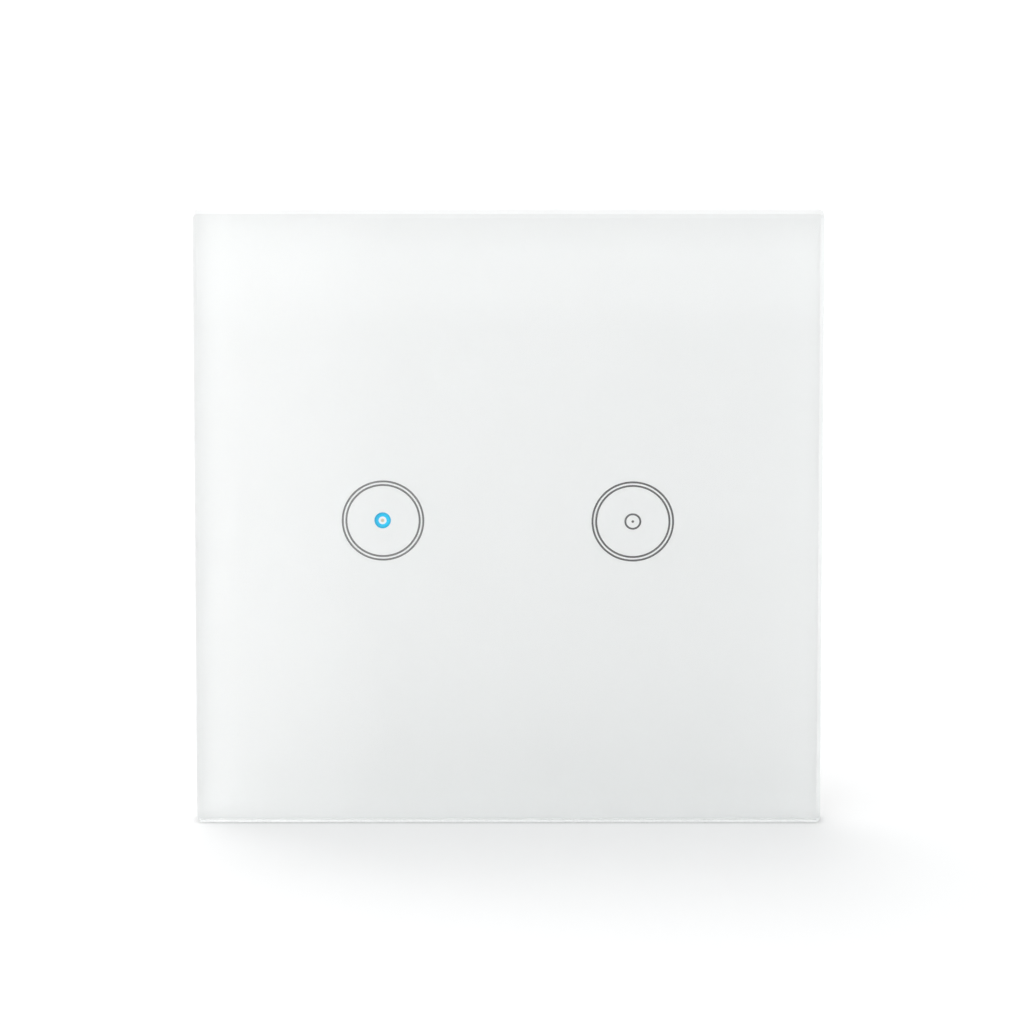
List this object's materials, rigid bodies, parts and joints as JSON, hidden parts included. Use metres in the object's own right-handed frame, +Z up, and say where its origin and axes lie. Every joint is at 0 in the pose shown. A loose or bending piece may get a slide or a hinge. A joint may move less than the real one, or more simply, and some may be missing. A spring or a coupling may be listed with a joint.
{
  "type": "smart light switch",
  "caption": "Square two-gang glass touch light switch: flat panel with two ring keys, clip-on frame, flange with screw slots, and a deep box of relays and terminals for the wall.",
  "frame": {"origin": "Midway between the two wall-box screw slots, on the wall plane (the rear face of the mounting flange).", "axes": "+Z is up, +X is to the right of a person who faces the switch, and the glass faces -Y, so +Y goes into the wall."},
  "size_m": [0.086, 0.036, 0.086],
  "materials": {
    "clear_glass": "polished",
    "white_film": "smooth",
    "tape": "matte",
    "white_abs": "fine texture",
    "white_polycarbonate": "fine texture",
    "spring_steel": "bright",
    "zinc_steel": "bright zinc",
    "soft_iron": "nickel plated",
    "tinned_steel": "satin",
    "tinned_brass": "satin",
    "gilt_brass": "bright",
    "copper_wire": "enamelled wire",
    "board_green": "solder mask",
    "board_blue": "solder mask",
    "clear_acrylic": "frosted",
    "led_blue": "lit",
    "led_body": "unlit",
    "chip_black": "moulded",
    "terminal_green": "moulded",
    "relay_black": "moulded",
    "bobbin_white": "moulded",
    "ferrite": "matte",
    "winding_tape": "polyester tape",
    "capacitor_sleeve": "shrink sleeve",
    "capacitor_box": "moulded",
    "varistor_blue": "dipped epoxy",
    "fuse_ceramic": "glazed"
  },
  "bodies": {
    "base": {"mounting_frame": "white_polycarbonate", "panel_clips": "spring_steel", "touch_board": "board_green", "touch_board_screws": "zinc_steel", "touch_spring_left": "spring_steel", "touch_spring_right": "spring_steel", "light_guide_left": "clear_acrylic", "light_guide_right": "clear_acrylic", "led_left": "led_blue", "led_right": "led_body", "touch_chip": "chip_black", "wifi_board": "board_blue", "wifi_shield": "tinned_steel", "board_socket": "chip_black", "pin_header": "gilt_brass", "rear_housing": "white_polycarbonate", "housing_screws": "zinc_steel", "power_board": "board_green", "power_board_screws": "zinc_steel", "terminal_block": "terminal_green", "terminal_bars": "tinned_brass", "relay_left_base": "relay_black", "relay_left_cover": "relay_black", "relay_left_yoke": "zinc_steel", "relay_left_core": "soft_iron", "relay_left_bobbin": "bobbin_white", "relay_left_winding": "copper_wire", "relay_left_fixed_contact": "tinned_brass", "relay_right_base": "relay_black", "relay_right_cover": "relay_black", "relay_right_yoke": "zinc_steel", "relay_right_core": "soft_iron", "relay_right_bobbin": "bobbin_white", "relay_right_winding": "copper_wire", "relay_right_fixed_contact": "tinned_brass", "transformer_core": "ferrite", "transformer_bobbin": "chip_black", "transformer_winding": "winding_tape", "bulk_capacitor": "capacitor_sleeve", "film_capacitor": "capacitor_box", "varistor": "varistor_blue", "fuse": "fuse_ceramic", "bridge_rectifier": "chip_black"},
    "panel": {"glass_panel": "clear_glass", "mask_film": "white_film", "panel_adhesive": "tape", "panel_frame": "white_abs"},
    "cage_1": {"clamp_cage_1": "zinc_steel"},
    "cage_2": {"clamp_cage_2": "zinc_steel"},
    "cage_3": {"clamp_cage_3": "zinc_steel"},
    "cage_4": {"clamp_cage_4": "zinc_steel"},
    "screw_1": {"terminal_screw_1": "zinc_steel"},
    "screw_2": {"terminal_screw_2": "zinc_steel"},
    "screw_3": {"terminal_screw_3": "zinc_steel"},
    "screw_4": {"terminal_screw_4": "zinc_steel"},
    "armature_left": {"relay_left_armature": "soft_iron", "relay_left_contact_spring": "tinned_brass"},
    "armature_right": {"relay_right_armature": "soft_iron", "relay_right_contact_spring": "tinned_brass"}
  },
  "joints": [
    {"name": "panel_pull", "type": "slide", "parent": "base", "child": "panel", "axis": [0, -1, 0], "range_m": [0, 0.03], "deforming": ["panel_clips"]},
    {"name": "screw_1_turn", "type": "hinge", "parent": "base", "child": "screw_1", "pos_m": [-0.01125, 0.01955, -0.0217], "axis": [0, 0, 1], "range_deg": [0, 1800]},
    {"name": "cage_1_rise", "type": "slide", "parent": "base", "child": "cage_1", "axis": [0, 0, -1], "range_m": [0, 0.0025]},
    {"name": "screw_2_turn", "type": "hinge", "parent": "base", "child": "screw_2", "pos_m": [-0.00375, 0.01955, -0.0217], "axis": [0, 0, 1], "range_deg": [0, 1800]},
    {"name": "cage_2_rise", "type": "slide", "parent": "base", "child": "cage_2", "axis": [0, 0, -1], "range_m": [0, 0.0025]},
    {"name": "screw_3_turn", "type": "hinge", "parent": "base", "child": "screw_3", "pos_m": [0.00375, 0.01955, -0.0217], "axis": [0, 0, 1], "range_deg": [0, 1800]},
    {"name": "cage_3_rise", "type": "slide", "parent": "base", "child": "cage_3", "axis": [0, 0, -1], "range_m": [0, 0.0025]},
    {"name": "screw_4_turn", "type": "hinge", "parent": "base", "child": "screw_4", "pos_m": [0.01125, 0.01955, -0.0217], "axis": [0, 0, 1], "range_deg": [0, 1800]},
    {"name": "cage_4_rise", "type": "slide", "parent": "base", "child": "cage_4", "axis": [0, 0, -1], "range_m": [0, 0.0025]},
    {"name": "relay_left_pull_in", "type": "hinge", "parent": "base", "child": "armature_left", "pos_m": [-0.0177, 0.0247, 0.00445], "axis": [1, 0, 0], "range_deg": [0, 3.8], "stiffness_Nm_per_rad": 0.03, "springref_deg": -1.72},
    {"name": "relay_right_pull_in", "type": "hinge", "parent": "base", "child": "armature_right", "pos_m": [0.0177, 0.0247, 0.00445], "axis": [1, 0, 0], "range_deg": [0, 3.8], "stiffness_Nm_per_rad": 0.03, "springref_deg": -1.72}
  ],
  "couplings": [
    {"joint": "screw_1_turn", "follows": "cage_1_rise", "rad_per_m": 12566},
    {"joint": "screw_2_turn", "follows": "cage_2_rise", "rad_per_m": 12566},
    {"joint": "screw_3_turn", "follows": "cage_3_rise", "rad_per_m": 12566},
    {"joint": "screw_4_turn", "follows": "cage_4_rise", "rad_per_m": 12566}
  ]
}
